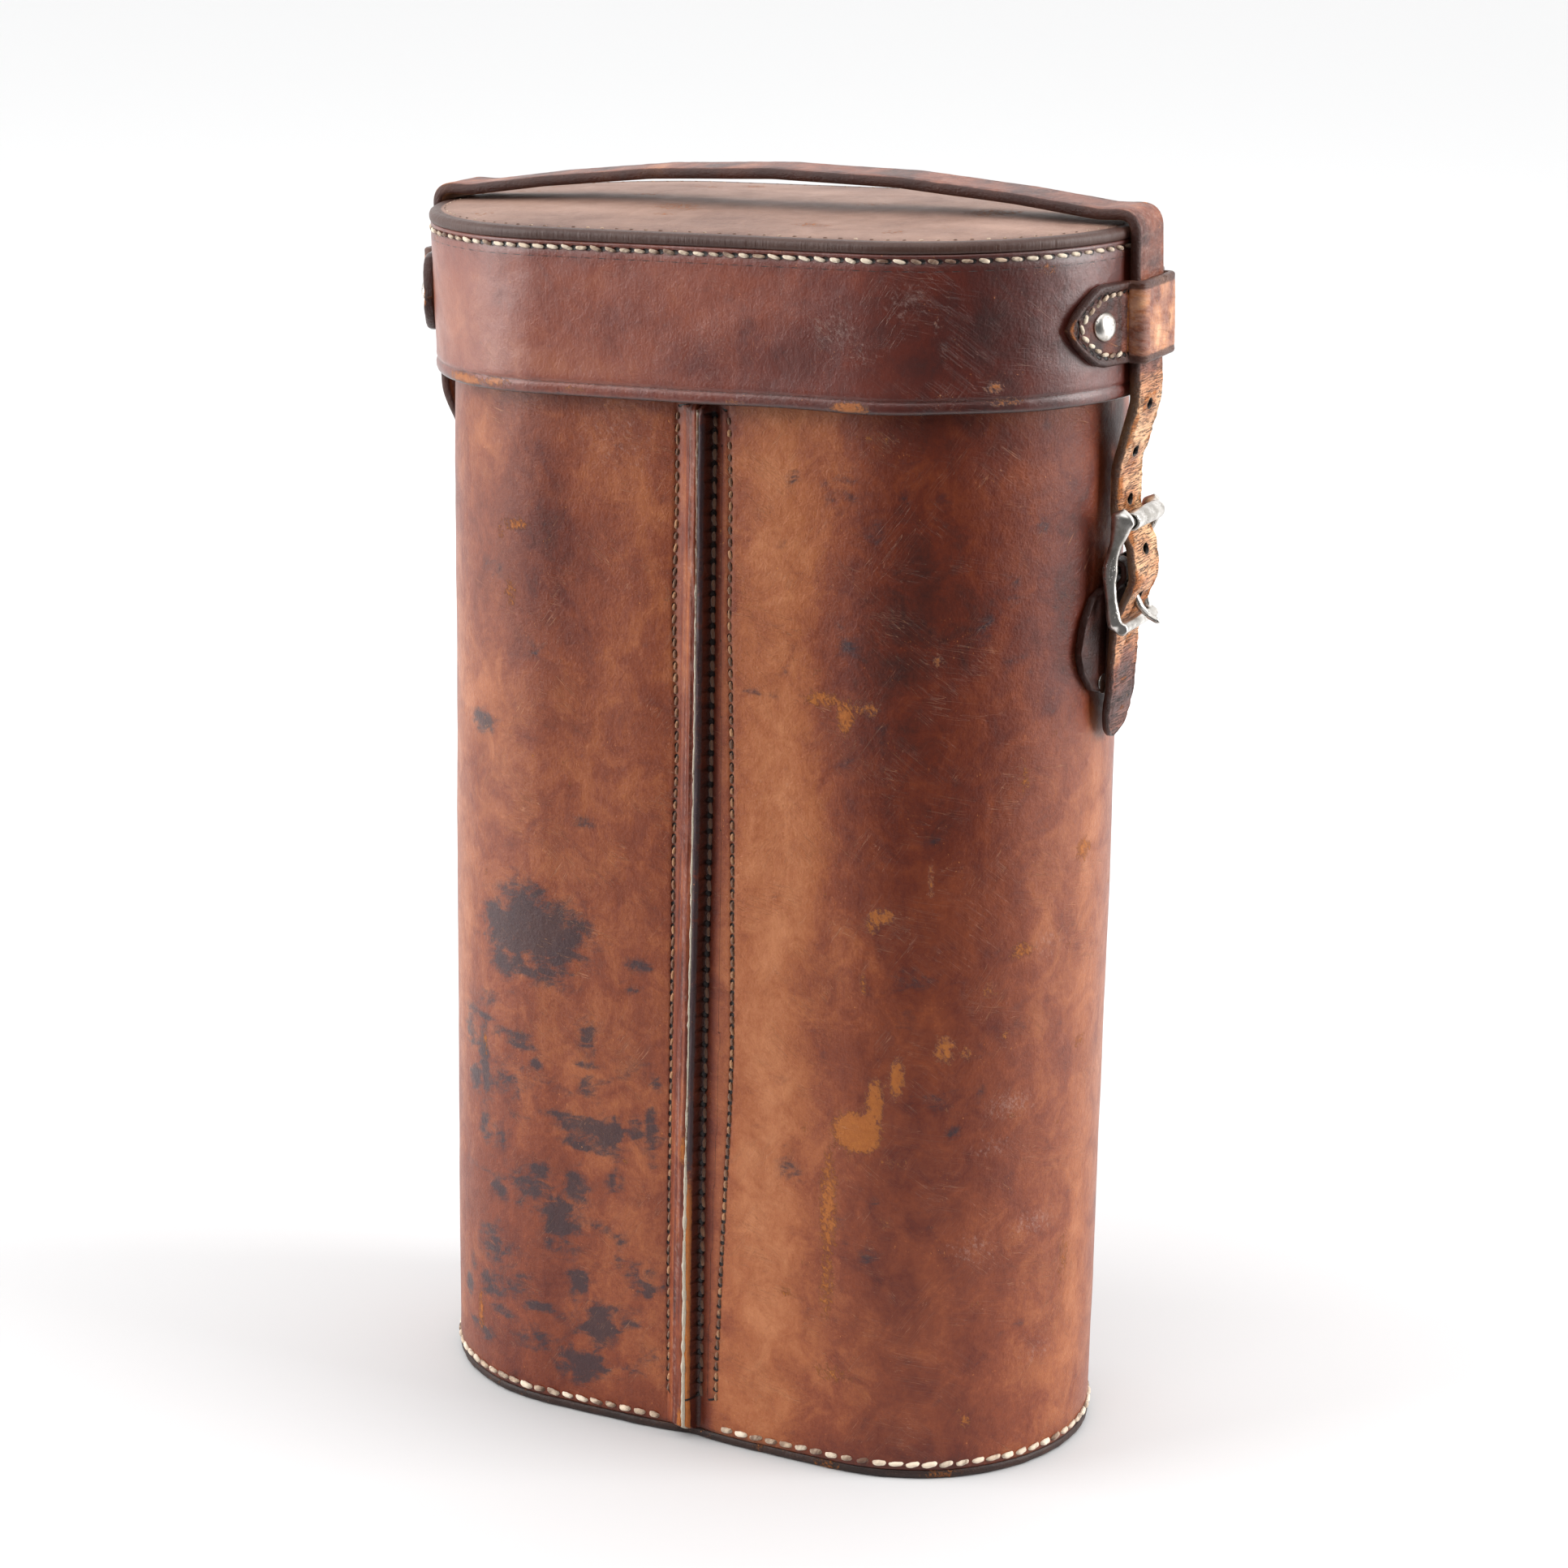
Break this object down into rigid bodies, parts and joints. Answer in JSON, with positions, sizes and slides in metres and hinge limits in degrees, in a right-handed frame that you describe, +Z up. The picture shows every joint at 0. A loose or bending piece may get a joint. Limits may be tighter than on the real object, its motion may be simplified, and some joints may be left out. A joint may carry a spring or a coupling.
{
  "type": "leather rod case",
  "caption": "Stitched leather case with two wells, a lift-off lid, a carry strap sewn to one end and buckled at the other, for carrying short rod sections or flasks upright.",
  "frame": {"origin": "middle of the base, on the surface the case stands on", "axes": "+Z up the case towards the lid, +X along the long side through the buckle, -Y out of the front seam"},
  "size_m": [0.2273, 0.1186, 0.363],
  "materials": {
    "case_leather": "worn, waxed saddle leather",
    "lid_leather": "dark polished saddle leather",
    "strap_leather": "worn strap leather with burnished edges",
    "sole_leather": "thick dark sole leather",
    "lining_leather": "plain undyed leather",
    "linen": "off-white linen",
    "linen_thread": "waxed cream linen thread",
    "waxed_thread": "waxed brown linen thread",
    "nickel": "worn nickel plate"
  },
  "bodies": {
    "case": {"body_panel_left": "case_leather", "body_panel_right": "case_leather", "front_seam_welt": "linen", "back_seam_welt": "linen", "front_seam_thread": "waxed_thread", "back_seam_thread": "waxed_thread", "divider": "lining_leather", "base_sole": "sole_leather", "base_thread": "linen_thread", "chape": "strap_leather", "chape_rivets": "nickel", "anchor_rivets": "nickel"},
    "lid": {"lid_band": "lid_leather", "lid_top": "lid_leather", "lid_thread": "linen_thread", "keeper_left": "strap_leather", "keeper_right": "strap_leather", "keeper_rivets": "nickel", "carry_strap": "strap_leather"},
    "buckle": {"buckle_frame": "nickel"},
    "roller": {"buckle_roller": "nickel"},
    "tongue": {"buckle_tongue": "nickel"}
  },
  "joints": [
    {"name": "lid_lift", "type": "slide", "parent": "case", "child": "lid", "axis": [0, 0, 1], "range_m": [0, 0.13], "deforming": ["carry_strap"]},
    {"name": "buckle_swing", "type": "hinge", "parent": "case", "child": "buckle", "pos_m": [0.1032, 0, 0.2605], "axis": [0, 1, 0], "range_deg": [-15, 10]},
    {"name": "roller_spin", "type": "hinge", "parent": "buckle", "child": "roller", "pos_m": [0.1083, 0, 0.2755], "axis": [0, 1, 0], "continuous": true},
    {"name": "tongue_open", "type": "hinge", "parent": "buckle", "child": "tongue", "pos_m": [0.1032, 0, 0.2605], "axis": [0, 1, 0], "range_deg": [-95, 0]}
  ]
}
